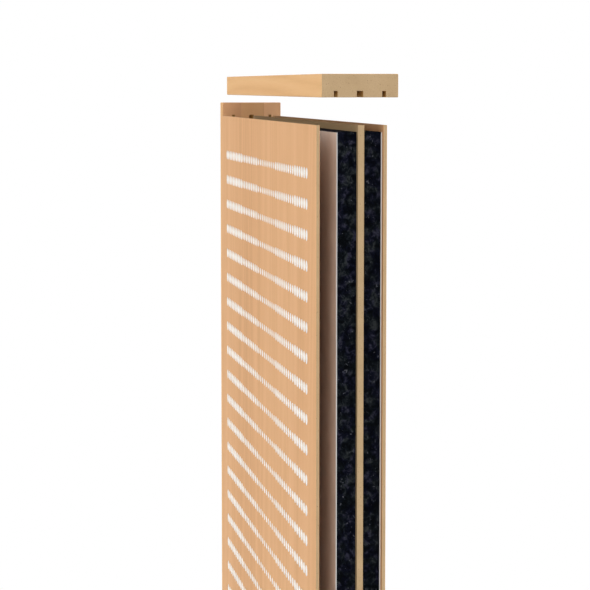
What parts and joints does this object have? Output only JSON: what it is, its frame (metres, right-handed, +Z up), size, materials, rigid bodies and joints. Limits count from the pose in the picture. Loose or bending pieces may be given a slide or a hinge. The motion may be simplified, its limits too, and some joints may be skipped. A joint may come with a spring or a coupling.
{
  "type": "freestanding office partition",
  "caption": "Wood-framed acoustic partition on a plinth with steel feet: perforated panels over felt absorbers, with a lift-off top cap, a sliding end post and panels that pull off.",
  "frame": {"origin": "on the floor under the middle of the plinth", "axes": "+X along the partition towards its open end, +Y through it towards the rear face, +Z up"},
  "size_m": [1.06, 0.38, 1.6541],
  "materials": {
    "frame_veneer": "lacquered wood veneer on fibreboard",
    "panel_veneer": "lacquered wood veneer, holes with white edges",
    "fibreboard": "bare fibreboard",
    "felt": "mottled felt absorber",
    "fleece": "natural non-woven fleece with pale cut edges",
    "backing": "thin fleece, white towards the holes and brown behind",
    "powder_coated_steel": "fine matt powder coat",
    "zinc_steel": "zinc plated",
    "insert_brass": "turned",
    "pad_rubber": "matt"
  },
  "bodies": {
    "base": {"left_foot": "powder_coated_steel", "right_foot": "powder_coated_steel", "foot_pads": "pad_rubber", "foot_screws": "zinc_steel", "plinth": "frame_veneer", "front_batten": "fibreboard", "rear_batten": "fibreboard", "batten_screws": "zinc_steel", "centre_board": "fibreboard", "front_absorber": "felt", "rear_absorber": "felt", "front_fleece": "fleece", "rear_fleece": "fleece"},
    "post": {"end_post": "frame_veneer", "post_inserts": "insert_brass", "post_bolts": "zinc_steel", "post_washers": "zinc_steel"},
    "front_leaf": {"front_panel": "panel_veneer", "front_backing": "backing"},
    "rear_leaf": {"rear_panel": "panel_veneer", "rear_backing": "backing"},
    "cap": {"top_cap": "frame_veneer"}
  },
  "joints": [
    {"name": "post_slide", "type": "slide", "parent": "base", "child": "post", "axis": [1, 0, 0], "range_m": [0, 0.053]},
    {"name": "front_panel_slide", "type": "slide", "parent": "base", "child": "front_leaf", "axis": [0, 1, 0], "range_m": [0, 0.0246]},
    {"name": "rear_panel_slide", "type": "slide", "parent": "base", "child": "rear_leaf", "axis": [0, 1, 0], "range_m": [0, 0.0246]},
    {"name": "cap_lift", "type": "slide", "parent": "base", "child": "cap", "axis": [0, 0, 1], "range_m": [-0.0433, 0]}
  ]
}
